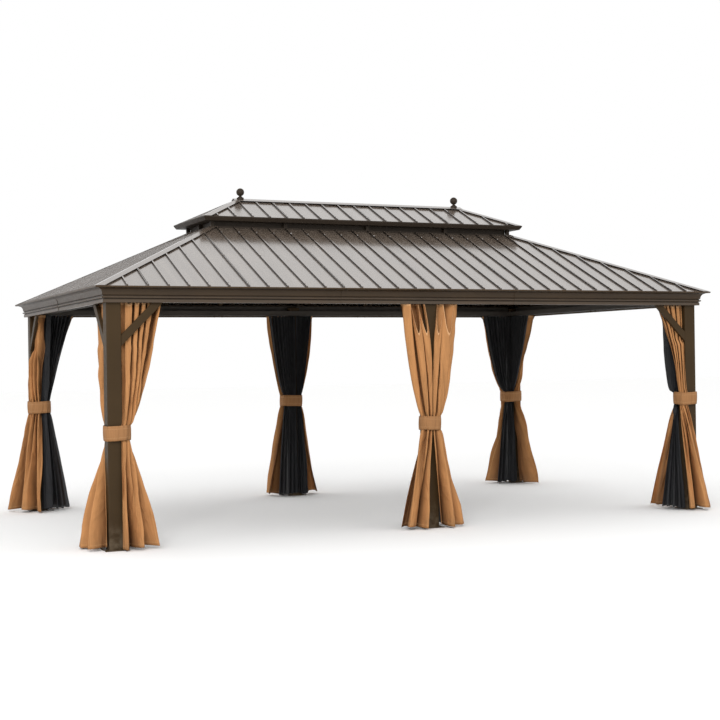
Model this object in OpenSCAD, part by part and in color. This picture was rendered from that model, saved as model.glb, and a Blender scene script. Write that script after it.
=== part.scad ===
// Hardtop gazebo: six posts, a moulded cornice, a hip roof in two tiers, tied back curtains and netting.
// Millimetres, +Z up, origin on the ground under the middle of the roof, +X along the long side.

/* [Roof] */
// Length over the cornice lips
roof_length = 6000; // [5600:50:6600]
// Width over the cornice lips
roof_width = 3600; // [3450:50:4000]
// Height of the cornice lip above the ground
eave_height = 2105; // [2050:5:2300]
// Slope of both tiers in degrees
roof_pitch = 24.6; // [22:0.2:27]
// Distance in plan from the cornice lip to the edge of the upper tier
upper_inset = 1312; // [1240:4:1340]
// Clear height of the vent between the two tiers
vent_gap = 45; // [35:1:80]
// Overhang of the upper tier past the vent
upper_overhang = 94; // [70:1:110]

/* [Roof panels] */
// Distance between neighbouring ribs
rib_pitch = 171; // [160:1:180]
// Height of a rib over the pan
rib_height = 13; // [10:1:24]
// Width of a plain rib
rib_width = 12; // [9:1:24]
// Width of each of the two folds of a seam
seam_rib = 4; // [3.5:0.5:8]
// Sheet thickness
sheet = 1.5; // [1:0.1:2]
// Width of each wing of the hip and ridge caps
cap_width = 48; // [40:1:90]

/* [Posts] */
// Side of a post
post_side = 120; // [90:1:140]
// Wall of the post tube
post_wall = 3; // [2:0.5:5]
// Distance from the cornice lip to the outer face of the posts
post_setback = 107; // [100:1:130]
// Side of a base plate
plate_side = 190; // [180:1:220]
// Thickness of a base plate
plate_thick = 6; // [4:1:12]
// Distance between anchor holes
anchor_spacing = 150; // [146:1:156]
// Diameter of an anchor hole
anchor_d = 12; // [8:0.5:14]

/* [Cornice and frame] */
// Height of the cornice moulding
cornice_height = 130; // [120:1:150]
// Distance the moulding steps in from lip to lower band
cornice_step = 80; // [70:1:90]
// Wall of the moulding
cornice_wall = 3; // [2:0.5:4]
// Depth of the perimeter beams across the wall
beam_depth = 50; // [40:1:60]
// Length of a knee brace along the post and along the beam
brace_leg = 345; // [260:5:380]
// Width of a knee brace
brace_width = 62; // [40:1:80]
// Thickness of a knee brace
brace_thick = 24; // [16:1:26]

/* [Curtains] */
// Spread of a curtain at the rail beside a corner post
corner_top = 345; // [300:5:450]
// Spread of a curtain at the hem beside a corner post
corner_hem = 320; // [300:5:450]
// Width of a gathered curtain at its tie beside a corner post
corner_gather = 80; // [70:1:110]
// Spread of a curtain at the rail beside a middle post
middle_top = 205; // [180:5:320]
// Spread of a curtain at the hem beside a middle post
middle_hem = 250; // [180:5:320]
// Width of a gathered curtain at its tie beside a middle post
middle_gather = 50; // [40:1:70]
// Depth of a curtain's folds at the hem
hem_depth = 140; // [60:5:145]
// Height of the middle of the ties at the front left and front middle posts
tie_height = 930; // [800:5:1100]
// Height of the middle of the ties at the other posts
far_tie_height = 1055; // [800:5:1100]
// Height of the tie band
tie_band = 120; // [60:1:140]
// Height of the hems above the ground
hem_height = 25; // [15:1:60]

/* [Hidden] */
$fn = 48;
metal = [0.24, 0.2, 0.16];
roof_brown = [0.42, 0.36, 0.31];
tan_cloth = [0.72, 0.51, 0.31];
net_black = [0.08, 0.09, 0.11];
// half sizes of the roof in plan, and its slope
half_l = roof_length / 2;
half_w = roof_width / 2;
rise = tan(roof_pitch);
flat = cos(roof_pitch);
// where the underside of the pan is level with the lip
pan_edge = (rib_height + sheet) / sin(roof_pitch) + 3.5;
rib_lift = (rib_height + sheet) / flat;
// lean of a rib's sides, and half of the gap between the two folds of a seam
rib_lean = 1.2;
seam_gap = 1;
curb_in = upper_inset + upper_overhang;
trim_height = 40;
upper_eave = pan_z(eave_height, curb_in) + rib_lift + vent_gap + trim_height;
upper_l = half_l - upper_inset;
upper_w = half_w - upper_inset;
ridge_z = pan_z(upper_eave, upper_w) + rib_lift + 4 + sheet;
// post centres
post_x = half_l - post_setback - post_side / 2;
post_y = half_w - post_setback - post_side / 2;
post_top = eave_height - 29;
cornice_base = eave_height - cornice_height;
beam_base = cornice_base + 15;
beam_top = eave_height - 15;
beam_in = post_setback + 0.5;
rail_in = beam_in + beam_depth + 0.5;
net_rail_in = post_setback + post_side + 0.5;
drape_in = post_setback + 2 + brace_thick + 24;
net_in = net_rail_in + 24;
drape_top = cornice_base + 9;
splice = 5 * rib_pitch;

// Height of the underside of the pan at a distance n in from an edge at height e.
function pan_z(e, n) = e + rise * (n - pan_edge);

// Right hand normal of the line from p to q.
function normal(p, q) = [q[1] - p[1], p[0] - q[0]] / norm(q - p);

// A ring of points moved by d along its mitred normals.
function moved(ring, d) = [for (i = [0 : len(ring) - 1])
    let (p = ring[(i + len(ring) - 1) % len(ring)], q = ring[i], r = ring[(i + 1) % len(ring)],
        m = normal(p, q), n = normal(q, r))
    q + d * (m + n) / (1 + m * n)];

// Square of side s with corners rounded to radius r, as points.
function rounded(s, r) = [for (k = [0 : 3], j = [0 : 4])
    let (t = 90 * k + 22.5 * j, c = s / 2 - r,
        cx = (k == 0 || k == 3) ? c : -c, cy = (k < 2) ? c : -c)
    [cx + r * cos(t), cy + r * sin(t)]];

// Puts a piece drawn for the front side on side k: front, right, back, left.
module side(k) {
    rotate([0, 0, 90 * k]) children();
}

// Copies a piece drawn at the front left corner to all four corners.
module corners() {
    for (i = [0, 1], j = [0, 1]) mirror([i, 0, 0]) mirror([0, j, 0]) children();
}

// Prism standing on a plan outline, tall enough to cut anything on the roof.
module plan(outline) {
    translate([0, 0, eave_height - 400]) linear_extrude(2000) polygon(outline);
}

// Section in the plane across a side, drawn as distance in and height, run along X from x0 to x1.
module run(x0, x1, edge) {
    translate([x0, -edge, 0]) rotate([90, 0, 90]) linear_extrude(x1 - x0) children();
}

// Hollow bar from the origin along X.
module tube(l, w, h, wall) {
    difference() {
        cube([l, w, h]);
        translate([-1, wall, wall]) cube([l + 2, w - 2 * wall, h - 2 * wall]);
    }
}

module post(x, y) {
    color(metal) translate([x, y, plate_thick]) linear_extrude(post_top - plate_thick) difference() {
        polygon(rounded(post_side, 8));
        polygon(rounded(post_side - 2 * post_wall, 5));
    }
}

module front_left_post() { post(-post_x, -post_y); }

module front_middle_post() { post(0, -post_y); }

module front_right_post() { post(post_x, -post_y); }

module back_left_post() { post(-post_x, post_y); }

module back_middle_post() { post(0, post_y); }

module back_right_post() { post(post_x, post_y); }

module base_plates() {
    color(metal) for (x = [-post_x, 0, post_x], y = [-post_y, post_y]) translate([x, y, 0]) difference() {
        translate([-plate_side / 2, -plate_side / 2, 0]) cube([plate_side, plate_side, plate_thick]);
        for (i = [-1, 1], j = [-1, 1])
            translate([i * anchor_spacing / 2, j * anchor_spacing / 2, -1])
                cylinder(h = plate_thick + 2, d = anchor_d);
    }
}

// Crown moulding: lip, cove, bead between two grooves and lower band, as distance in and height.
cove_x = 0.44 * cornice_step;
cove_dx = 0.42 * cornice_step;
cove_z = eave_height - 18;
cove_dz = 0.39 * cornice_height;
crown = concat(
    [[0, eave_height], [0, eave_height - 11], [4, eave_height - 14], [cove_x - 6, eave_height - 14]],
    [for (t = [0 : 15 : 90]) [cove_x + cove_dx * sin(t), cove_z - cove_dz + cove_dz * cos(t)]],
    [[cornice_step - 3, cornice_base + 0.44 * cornice_height],
        [cornice_step - 3, cornice_base + 0.40 * cornice_height],
        [cornice_step - 15, cornice_base + 0.37 * cornice_height],
        [cornice_step - 17, cornice_base + 0.33 * cornice_height],
        [cornice_step - 15, cornice_base + 0.29 * cornice_height],
        [cornice_step, cornice_base + 0.25 * cornice_height],
        [cornice_step, cornice_base + 0.21 * cornice_height],
        [cornice_step - 5, cornice_base + 0.19 * cornice_height], [cornice_step - 5, cornice_base],
        [post_setback, cornice_base], [post_setback, eave_height]]);

// One side of the cornice, mitred at its corners and cut into lengths at the splices.
module cornice(hl, hb, cuts) {
    ends = concat([-hl], cuts, [hl]);
    color(metal) for (i = [0 : len(ends) - 2]) {
        x0 = ends[i] + (i == 0 ? 0 : 2);
        x1 = ends[i + 1] - (i == len(ends) - 2 ? 0 : 2);
        m0 = i == 0 ? post_setback : 0;
        m1 = i == len(ends) - 2 ? post_setback : 0;
        g0 = i == 0 ? 0.7 : 0;
        g1 = i == len(ends) - 2 ? 0.7 : 0;
        intersection() {
            run(x0, x1, hb) difference() {
                polygon(crown);
                polygon(moved(crown, -cornice_wall));
            }
            plan([[x0 + g0, -hb - 0.01], [x1 - g1, -hb - 0.01], [x1 - m1 - g1, -hb + post_setback + 0.01],
                [x0 + m0 + g0, -hb + post_setback + 0.01]]);
        }
    }
}

module front_cornice() { cornice(half_l, half_w, [-splice, splice]); }

module right_cornice() { side(1) cornice(half_w, half_l, [0]); }

module back_cornice() { side(2) cornice(half_l, half_w, [-splice, splice]); }

module left_cornice() { side(3) cornice(half_w, half_l, [0]); }

// The bays of a side between its posts, as start and end along X.
function bays(k) = k % 2 == 0
    ? [[-post_x + post_side / 2, -post_side / 2], [post_side / 2, post_x - post_side / 2]]
    : [[-post_y + post_side / 2, post_y - post_side / 2]];

function side_edge(k) = k % 2 == 0 ? half_w : half_l;

module perimeter_beams() {
    color(metal) for (k = [0 : 3], s = bays(k)) side(k)
        translate([s[0] + 0.5, beam_in - side_edge(k), beam_base])
            tube(s[1] - s[0] - 1, beam_depth, beam_top - beam_base, 3);
}

// Hollow track with a slot below, w wide.
module track(w) {
    difference() {
        square([w, 50]);
        translate([2.5, 6]) square([w - 5, 41]);
        translate([w / 2 - 3, -1]) square([6, 8]);
    }
}

// One track between the posts for the curtains, and one past their inner faces for the netting.
module curtain_rails() {
    color(metal) for (k = [0 : 3]) side(k) {
        e = side_edge(k);
        for (s = bays(k)) run(s[0] + 1, s[1] - 1, e) translate([rail_in, beam_base]) track(20);
        l = (k % 2 == 0 ? half_l : half_w) - net_rail_in - (k % 2 == 0 ? 0 : 21);
        run(-l, l, e) translate([net_rail_in, beam_base]) track(20);
    }
}

// Two straight braces a corner, each between the post and the beam of its side.
module knee_braces() {
    color(metal) for (k = [0 : 3], s = [bays(k)[0][0], -bays(k)[0][0]]) side(k) {
        d = s < 0 ? 1 : -1;
        o = brace_width * sqrt(2);
        translate([s + d * 0.5, post_setback + 2 + brace_thick - side_edge(k), cornice_base - 0.5])
            rotate([90, 0, 0]) linear_extrude(brace_thick)
                polygon([[0, -brace_leg], [d * brace_leg, 0], [d * (brace_leg - o), 0], [0, o - brace_leg]]);
    }
}

module hip_rafters() {
    lean = atan(rise / sqrt(2));
    n0 = post_setback + post_side / 2 - 5;
    l = (curb_in - 26 - n0) * sqrt(2) / cos(lean);
    color(metal) corners()
        translate([n0 - half_l, n0 - half_w, pan_z(eave_height, n0) - 12])
            rotate([0, 0, 45]) rotate([0, -lean, 0]) translate([0, -25, -60]) tube(l, 50, 60, 3);
}

// Frame of a front slope: X along it, Y up the slope from a distance n in, Z square to the pan.
module on_slope(edge, e, n) {
    translate([0, n - edge, pan_z(e, n)]) rotate([roof_pitch, 0, 0]) children();
}

module common_rafters() {
    color(metal) for (k = [0 : 3], x = k % 2 == 0 ? [-splice, 0, splice] : [0]) side(k) {
        n0 = (k % 2 == 0 && x == 0) ? post_setback + post_side + 36 : rail_in + 32;
        on_slope(side_edge(k), eave_height, n0) translate([x + 20, 0, -80]) rotate([0, 0, 90])
            tube((curb_in - 31 - n0) / flat, 40, 50, 2.5);
    }
}

module purlins() {
    n0 = curb_in / 2 + 40;
    color(metal) for (k = [0 : 3]) side(k) {
        l = (k % 2 == 0 ? half_l : half_w) - n0 - 82;
        on_slope(side_edge(k), eave_height, n0) translate([-l, 0, -29]) tube(2 * l, 40, 28, 2.5);
    }
}

// Ring of four bars at a distance n in, from height z0 to z1.
module ring(n, w, z0, z1) {
    for (k = [0 : 3]) side(k) {
        l = k % 2 == 0 ? half_l - n : half_w - n - w - 0.5;
        translate([-l, n - side_edge(k), z0]) tube(2 * l, w, z1 - z0, 3);
    }
}

curb_top = upper_eave - trim_height - vent_gap;

module vent_curb() {
    color(metal) ring(curb_in, 40, curb_top - 86, curb_top);
}

module vent_struts() {
    strut_z = upper_eave - trim_height - curb_top;
    color(metal) {
        corners() translate([curb_in - half_l + 2, curb_in - half_w + 2, curb_top + 0.2])
            cube([34, 34, strut_z - 0.4]);
        for (k = [0 : 3], x = k % 2 == 0 ? [-splice, 0, splice] : [0]) side(k)
            translate([x - 17, curb_in - side_edge(k) + 2, curb_top + 0.2]) cube([34, 34, strut_z - 0.4]);
    }
}

// Fine dark screens that close the vent behind its struts.
module vent_screens() {
    n = curb_in + 36.6;
    color(net_black) for (k = [0 : 3]) side(k) {
        l = k % 2 == 0 ? half_l - n : half_w - n - 3.4;
        translate([-l, n - side_edge(k), curb_top + 0.2])
            cube([2 * l, 2.8, upper_eave - trim_height - curb_top - 0.4]);
    }
}

module upper_eave_frame() {
    color(metal) ring(curb_in + 1, 40, upper_eave - trim_height, upper_eave);
}

module upper_hip_rafters() {
    lean = atan(rise / sqrt(2));
    n0 = upper_overhang + 60;
    l = (upper_w - n0 - 45) * sqrt(2) / cos(lean);
    color(metal) corners()
        translate([n0 - upper_l, n0 - upper_w, pan_z(upper_eave, n0) - 10])
            rotate([0, 0, 45]) rotate([0, -lean, 0]) translate([0, -20, -40]) tube(l, 40, 40, 2.5);
}

module ridge_beam() {
    l = upper_l - upper_w + 10;
    color(metal) translate([-l, -20, pan_z(upper_eave, upper_w) - 62]) tube(2 * l, 40, 50, 2.5);
}

// Outline of a rib of width w at c: underside, then upper side.
function rib_low(c, w) = [[c - w / 2, 0], [c - w / 2 + rib_lean, rib_height],
    [c + w / 2 - rib_lean, rib_height], [c + w / 2, 0]];

function rib_high(c, w) = [for (p = rib_low(c, w)) [p[0] + (p[0] < c ? -sheet : sheet), p[1] + sheet]];

// Folded section of one panel from a seam at x0 to a seam or a plain cut at x1.
function panel_section(x0, x1, seam) =
    let (c0 = x0 + seam_gap + sheet + seam_rib / 2, c1 = x1 - seam_gap - sheet - seam_rib / 2,
        count = floor((x1 - x0 - rib_pitch / 2) / rib_pitch),
        plain = [for (i = [1 : 1 : count]) x0 + i * rib_pitch],
        low = concat(rib_low(c0, seam_rib), [for (c = plain) each rib_low(c, rib_width)],
            seam ? rib_low(c1, seam_rib) : [[x1, 0]]),
        first = rib_high(c0, seam_rib),
        last = rib_high(c1, seam_rib),
        high = concat([[first[0][0], 0], first[1], first[2], first[3]],
            [for (c = plain) each rib_high(c, rib_width)],
            seam ? [last[0], last[1], last[2], [last[3][0], 0]] : [[x1, sheet]]))
    concat(low, [for (i = [len(high) - 1 : -1 : 0]) high[i]]);

// Ribbed panels of one slope, cut plumb at the eave, at the top and along both hips.
module slope(hl, hb, e, n0, n1) {
    last = floor((hl - 1.3 * rib_pitch) / splice);
    color(roof_brown) for (m = [0, 1], i = [0 : last]) mirror([m, 0, 0]) intersection() {
        on_slope(hb, e, n0 - 60) rotate([90, 0, 0]) translate([0, 0, -(n1 - n0 + 120) / flat])
            linear_extrude((n1 - n0 + 120) / flat)
                polygon(panel_section(i * splice, i < last ? (i + 1) * splice : hl, i < last));
        plan([[-1, n0 - hb], [hl - n0 - 4, n0 - hb], [hl - n1 - 4, n1 - hb], [-1, n1 - hb]]);
    }
}

module front_lower_roof() { slope(half_l, half_w, eave_height, pan_edge + 1, curb_in - 3); }

module right_lower_roof() { side(1) slope(half_w, half_l, eave_height, pan_edge + 1, curb_in - 3); }

module back_lower_roof() { side(2) slope(half_l, half_w, eave_height, pan_edge + 1, curb_in - 3); }

module left_lower_roof() { side(3) slope(half_w, half_l, eave_height, pan_edge + 1, curb_in - 3); }

module front_upper_roof() { slope(upper_l, upper_w, upper_eave, pan_edge + 1, upper_w - 3); }

module right_upper_roof() { side(1) slope(upper_w, upper_l, upper_eave, pan_edge + 1, upper_w - 3); }

module back_upper_roof() { side(2) slope(upper_l, upper_w, upper_eave, pan_edge + 1, upper_w - 3); }

module left_upper_roof() { side(3) slope(upper_w, upper_l, upper_eave, pan_edge + 1, upper_w - 3); }

// One wing of a hip cap over the ribs of a front slope, drawn from the corner of the roof.
module cap_wing(e, n0, n1, far) {
    q = cap_width * sqrt(2);
    z0 = pan_z(e, n0 - 50) + rib_lift + 0.5;
    z1 = pan_z(e, n1 + 50) + rib_lift + 0.5;
    intersection() {
        run(n0 - 10, n1 + q + 10, 0)
            polygon([[n0 - 50, z0], [n1 + 50, z1], [n1 + 50, z1 + sheet], [n0 - 50, z0 + sheet]]);
        plan([[n0, n0], [n1, n1], [min(n1 + q, far), n1], [min(n1 + q, far), max(n0, min(n1, far - q))],
            [n0 + q, n0]]);
    }
}

module hip_cap(e, n0, n1, far) {
    cap_wing(e, n0, n1, 1e5);
    mirror([1, -1, 0]) cap_wing(e, n0, n1, far);
}

module lower_hip_caps() {
    color(roof_brown) corners()
        translate([-half_l, -half_w, 0]) hip_cap(eave_height, 8, curb_in - 3, half_w - 1);
}

module upper_hip_caps() {
    color(roof_brown) corners()
        translate([-upper_l, -upper_w, 0]) hip_cap(upper_eave, 6, upper_w - 2, upper_w - 1);
}

module ridge_cap() {
    l = upper_l - upper_w + 40;
    z = ridge_z - sheet;
    w = cap_width + 6;
    color(roof_brown) run(-l, l, 0) polygon([[-w, z - w * rise], [0, z], [w, z - w * rise],
        [w, z - w * rise + sheet], [0, z + sheet], [-w, z - w * rise + sheet]]);
}

// Folded edge of the upper tier, mitred at the corners: a lip, a face that leans in by b, and the soffit.
module upper_eave_trim() {
    z = upper_eave - trim_height;
    t = 2;
    b = 20;
    section = [[b, z], [upper_overhang, z], [upper_overhang, z + t], [b + t, z + t], [t, upper_eave - 10],
        [t, upper_eave - t], [pan_edge - 6, upper_eave - t], [pan_edge - 6, upper_eave], [0, upper_eave],
        [0, upper_eave - 10]];
    color(metal) for (k = [0 : 3]) side(k) {
        hl = k % 2 == 0 ? upper_l : upper_w;
        hb = k % 2 == 0 ? upper_w : upper_l;
        w = upper_overhang;
        intersection() {
            run(-hl, hl, hb) polygon(section);
            plan([[0.5 - hl, -hb - 0.01], [hl - 0.5, -hb - 0.01], [hl - w - 0.5, w - hb + 0.01],
                [w - hl + 0.5, w - hb + 0.01]]);
        }
    }
}

// Ball on a flared foot that saddles the ridge cap.
module finials() {
    color(roof_brown) for (i = [-1, 1]) translate([i * (upper_l - upper_w - 35), 0, ridge_z]) difference() {
        union() {
            translate([0, 0, -20]) cylinder(h = 28, r = 34);
            translate([0, 0, 8]) cylinder(h = 14, r1 = 30, r2 = 13);
            translate([0, 0, 20]) cylinder(h = 12, r = 13);
            translate([0, 0, 62]) sphere(r = 38);
        }
        translate([-100, 0, 0]) rotate([90, 0, 90]) linear_extrude(200)
            polygon([[-60, 0.5 - 60 * rise], [0, 0.5], [60, 0.5 - 60 * rise], [60, -80], [-60, -80]]);
    }
}

// Height of the tie at the post that stands at s along side k.
function tie_at(k, s) = (k == 0 && s < post_x / 2) || (k == 3 && s > 0) ? tie_height : far_tie_height;

// Outer edge of hanging cloth: full at the rail, drawn in at the tie, flared at the hem.
function drape_edge(top, gather, hem, h) =
    let (h0 = h - tie_band / 2, h1 = h + tie_band / 2)
    concat([for (t = [1, 0.55, 0.2, 0]) [gather + (hem - gather) * pow(t, 1.1), h0 + (hem_height - h0) * t]],
        [for (t = [0, 0.08, 0.22, 0.45, 0.72, 1])
            [gather + (top - gather) * pow(t, 0.6), h1 + (drape_top - h1) * t]]);

// Hanging cloth from a0 to its outer edge, tied at height h, n in from the lip; d0 is its depth at the rail and
// d1 at the hem.
module drape(a0, edge, h, n, d0, d1) {
    intersection() {
        translate([0, 400, 0]) rotate([90, 0, 0]) linear_extrude(500)
            polygon(concat([[a0, drape_top], [a0, hem_height]], edge));
        rotate([90, 0, 90]) translate([0, 0, -200]) linear_extrude(900)
            polygon([[n - d1 / 2, hem_height - 5], [n + d1 / 2, hem_height - 5], [n + d0 * 0.6, h],
                [n + d0 / 2, drape_top + 5], [n - d0 / 2, drape_top + 5], [n - d0 * 0.6, h]]);
    }
}

// Cloth of one side, a pair of drapes to each bay.
module drapes(k, net) {
    for (s = bays(k)) for (i = [0, 1]) {
        middle = abs(s[i]) < post_side;
        h = tie_at(k, s[i]);
        edge = middle ? drape_edge(middle_top, middle_gather, middle_hem, h)
            : drape_edge(corner_top, corner_gather, corner_hem, h);
        a0 = net ? (middle ? 2 - post_side / 2 : 48) : 0;
        side(k) translate([s[i] + (i == 0 ? 3 : -3), -side_edge(k), 0]) mirror([i, 0, 0])
            drape(a0, net ? [for (p = edge) [max(p[0] - 8, a0 + 12), p[1]]] : edge, h,
                net ? net_in : drape_in, net ? 36 : 38, net ? 50 : hem_depth);
    }
}

module front_curtains() { color(tan_cloth) drapes(0, false); }

module right_curtains() { color(tan_cloth) drapes(1, false); }

module back_curtains() { color(tan_cloth) drapes(2, false); }

module left_curtains() { color(tan_cloth) drapes(3, false); }

module front_netting() { color(net_black) drapes(0, true); }

module right_netting() { color(net_black) drapes(1, true); }

module back_netting() { color(net_black) drapes(2, true); }

module left_netting() { color(net_black) drapes(3, true); }

// Bands that hold the cloth to the posts, each a closed loop round the post and its drapes.
module curtain_ties() {
    o0 = -post_side / 2 - 6;
    c1 = post_side / 2 + corner_gather + 9;
    m1 = post_side / 2 + middle_gather + 9;
    n1 = net_in + 29 - post_setback - post_side / 2;
    color(tan_cloth) for (i = [0, 1], j = [0, 1]) mirror([i, 0, 0]) mirror([0, j, 0])
        translate([-post_x, -post_y, (i + j == 0 ? tie_height : far_tie_height) - tie_band / 2 + 2])
            linear_extrude(tie_band - 4) loop([o0, o0], [c1, c1]);
    color(tan_cloth) for (j = [0, 1]) mirror([0, j, 0])
        translate([0, -post_y, (j == 0 ? tie_height : far_tie_height) - tie_band / 2 + 2])
            linear_extrude(tie_band - 4) loop([-m1, o0], [m1, n1]);
}

// Band 3 thick between two corners of its outline, with its own corners cut off.
module loop(lo, hi) {
    c = 8;
    outer = [[lo[0] + c, lo[1]], [hi[0] - c, lo[1]], [hi[0], lo[1] + c], [hi[0], hi[1] - c], [hi[0] - c, hi[1]],
        [lo[0] + c, hi[1]], [lo[0], hi[1] - c], [lo[0], lo[1] + c]];
    difference() {
        polygon(outer);
        polygon(moved(outer, -3));
    }
}

front_left_post();
front_middle_post();
front_right_post();
back_left_post();
back_middle_post();
back_right_post();
base_plates();
front_cornice();
right_cornice();
back_cornice();
left_cornice();
perimeter_beams();
curtain_rails();
knee_braces();
hip_rafters();
common_rafters();
purlins();
vent_curb();
vent_struts();
vent_screens();
upper_eave_frame();
upper_hip_rafters();
ridge_beam();
front_lower_roof();
right_lower_roof();
back_lower_roof();
left_lower_roof();
lower_hip_caps();
upper_eave_trim();
front_upper_roof();
right_upper_roof();
back_upper_roof();
left_upper_roof();
upper_hip_caps();
ridge_cap();
finials();
front_curtains();
right_curtains();
back_curtains();
left_curtains();
front_netting();
right_netting();
back_netting();
left_netting();
curtain_ties();
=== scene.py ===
import math
from functools import partial
import bpy
import numpy as np
from mathutils import Matrix, Vector


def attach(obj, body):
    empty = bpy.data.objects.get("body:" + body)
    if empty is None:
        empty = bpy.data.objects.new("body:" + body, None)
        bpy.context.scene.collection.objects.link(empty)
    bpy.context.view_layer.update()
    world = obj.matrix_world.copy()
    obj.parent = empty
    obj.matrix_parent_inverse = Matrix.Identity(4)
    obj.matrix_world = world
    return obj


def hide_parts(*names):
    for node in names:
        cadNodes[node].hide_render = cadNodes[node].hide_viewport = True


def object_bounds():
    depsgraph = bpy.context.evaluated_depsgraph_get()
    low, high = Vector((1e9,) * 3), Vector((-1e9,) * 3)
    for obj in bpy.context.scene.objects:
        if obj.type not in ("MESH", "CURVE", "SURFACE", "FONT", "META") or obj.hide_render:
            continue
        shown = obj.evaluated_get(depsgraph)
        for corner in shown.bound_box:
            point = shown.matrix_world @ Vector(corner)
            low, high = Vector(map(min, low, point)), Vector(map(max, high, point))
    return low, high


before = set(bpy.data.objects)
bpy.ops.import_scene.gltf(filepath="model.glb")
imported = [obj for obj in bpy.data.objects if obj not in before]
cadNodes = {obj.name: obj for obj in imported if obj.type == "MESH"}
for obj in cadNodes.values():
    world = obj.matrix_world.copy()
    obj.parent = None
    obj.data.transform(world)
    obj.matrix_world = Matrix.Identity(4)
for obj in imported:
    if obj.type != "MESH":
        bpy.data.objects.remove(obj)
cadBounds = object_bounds()
print("frame loaded,", len(cadNodes), "nodes")

# Main lines of the gazebo that the added pieces follow, in metres.
halfLength, halfWidth = (float(edge) for edge in cadBounds[1][:2])
layout = {
    "slope": math.radians(24.6), "panEdge": 0.03833, "ribLift": 0.01595, "ribPitch": 0.171,
    "seamOffset": 0.0045, "postX": 2.833, "postY": 1.633, "postHalf": 0.06, "postSetback": 0.107,
    "beamBase": 1.99, "clothTop": 1.984, "braceBack": 0.139, "braceFoot": 1.630,
    "corniceBase": 1.975, "corniceHeight": 0.130, "splice": 0.855,
}

# Roof tiers: how far each lies in from the lips of the cornice, and the height of its eave.
tiers = {"lower": {"inset": 0.0, "eave": 2.105}, "upper": {"inset": 1.312, "eave": 2.8321}}

# Sides in turn: inward direction, direction along the side, distance of its lip, half of its length.
xAxis, yAxis, zAxis = np.eye(3)
longSides = ("front", "back")
sides = {
    "front": {"inward": yAxis, "along": xAxis, "lip": halfWidth, "half": halfLength},
    "right": {"inward": -xAxis, "along": yAxis, "lip": halfLength, "half": halfWidth},
    "back": {"inward": -yAxis, "along": -xAxis, "lip": halfWidth, "half": halfLength},
    "left": {"inward": xAxis, "along": -yAxis, "lip": halfLength, "half": halfWidth},
}

# Posts in plan, in shares of postX and postY, and the height of the middle of each tie.
posts = {
    "front_left_post": {"at": (-1, -1), "tie": 0.933},
    "front_middle_post": {"at": (0, -1), "tie": 0.927},
    "front_right_post": {"at": (1, -1), "tie": 1.075},
    "back_left_post": {"at": (-1, 1), "tie": 1.053},
    "back_middle_post": {"at": (0, 1), "tie": 1.052},
    "back_right_post": {"at": (1, 1), "tie": 1.032},
}


# Sockets of a node: a socket given as the value is linked, anything else is set.
def fillSockets(tree, node, values):
    for key, value in values.items():
        if isinstance(value, bpy.types.NodeSocket):
            tree.links.new(value, node.inputs[key])
        else:
            node.inputs[key].default_value = value


def addNode(tree, kind, inputs=None, **settings):
    made = tree.nodes.new(kind)
    for key, value in settings.items():
        setattr(made, key, value)
    fillSockets(tree, made, inputs or {})
    return made


def mathNode(tree, operation, *values, clamp=False):
    inputs = dict(enumerate(values))
    return addNode(tree, "ShaderNodeMath", inputs, operation=operation, use_clamp=clamp).outputs[0]


def mixColor(tree, factor, first, second):
    return addNode(tree, "ShaderNodeMix", {0: factor, 6: first, 7: second}, data_type="RGBA").outputs[2]


# A layer of another colour, as strong as the mask times its share.
def layColor(tree, colour, layer, mask, share):
    return mixColor(tree, mathNode(tree, "MULTIPLY", mask, share), colour, layer)


# Smooth step from one span of values to another.
rising, falling = (0.0, 1.0), (1.0, 0.0)


def rangeNode(tree, value, span, out=rising):
    inputs = {"Value": value, "From Min": span[0], "From Max": span[1], "To Min": out[0], "To Max": out[1]}
    return addNode(tree, "ShaderNodeMapRange", inputs, interpolation_type="SMOOTHSTEP").outputs["Result"]


def noiseNode(tree, vector, scale, detail, distortion=0.0):
    inputs = {"Vector": vector, "Scale": scale, "Detail": detail, "Distortion": distortion}
    return addNode(tree, "ShaderNodeTexNoise", inputs).outputs["Fac"]


# Noise evened out: most of a noise lies in noiseSpan, which becomes half below and half above zero.
noiseSpan, evenSpan = (0.3, 0.7), (-0.5, 0.5)


def evenNoise(tree, vector, scale, detail):
    return rangeNode(tree, noiseNode(tree, vector, scale, detail), noiseSpan, evenSpan)


def coordinates(tree, kind):
    return addNode(tree, "ShaderNodeTexCoord").outputs[kind]


def splitVector(tree, vector):
    return addNode(tree, "ShaderNodeSeparateXYZ", {0: vector}).outputs


def stretched(tree, vector, by):
    return addNode(tree, "ShaderNodeVectorMath", {0: vector, 1: by}, operation="MULTIPLY").outputs[0]


# Colour times one plus value times strength.
def shaded(tree, colour, value, strength):
    scale = mathNode(tree, "MULTIPLY_ADD", value, strength, 1.0)
    return addNode(tree, "ShaderNodeVectorMath", {0: colour, "Scale": scale}, operation="SCALE").outputs[0]


# Node groups: a preset of one, three or four numbers makes an input a value, a vector or a colour.
socketKinds = {1: "NodeSocketFloat", 3: "NodeSocketVector", 4: "NodeSocketColor"}


def openGroup(name, inputs):
    tree = bpy.data.node_groups.new(name, "ShaderNodeTree")
    for label, preset in inputs.items():
        kind = socketKinds[len(preset) if isinstance(preset, tuple) else 1]
        socket = tree.interface.new_socket(name=label, in_out="INPUT", socket_type=kind)
        socket.default_value = preset
    return tree, tree.nodes.new("NodeGroupInput").outputs


def closeGroup(tree, results):
    for label in results:
        kind = socketKinds[4 if label == "Color" else 1]
        tree.interface.new_socket(name=label, in_out="OUTPUT", socket_type=kind)
    fillSockets(tree, tree.nodes.new("NodeGroupOutput"), results)
    return tree


def useGroup(tree, group, inputs):
    return addNode(tree, "ShaderNodeGroup", inputs, node_tree=group).outputs


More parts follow.
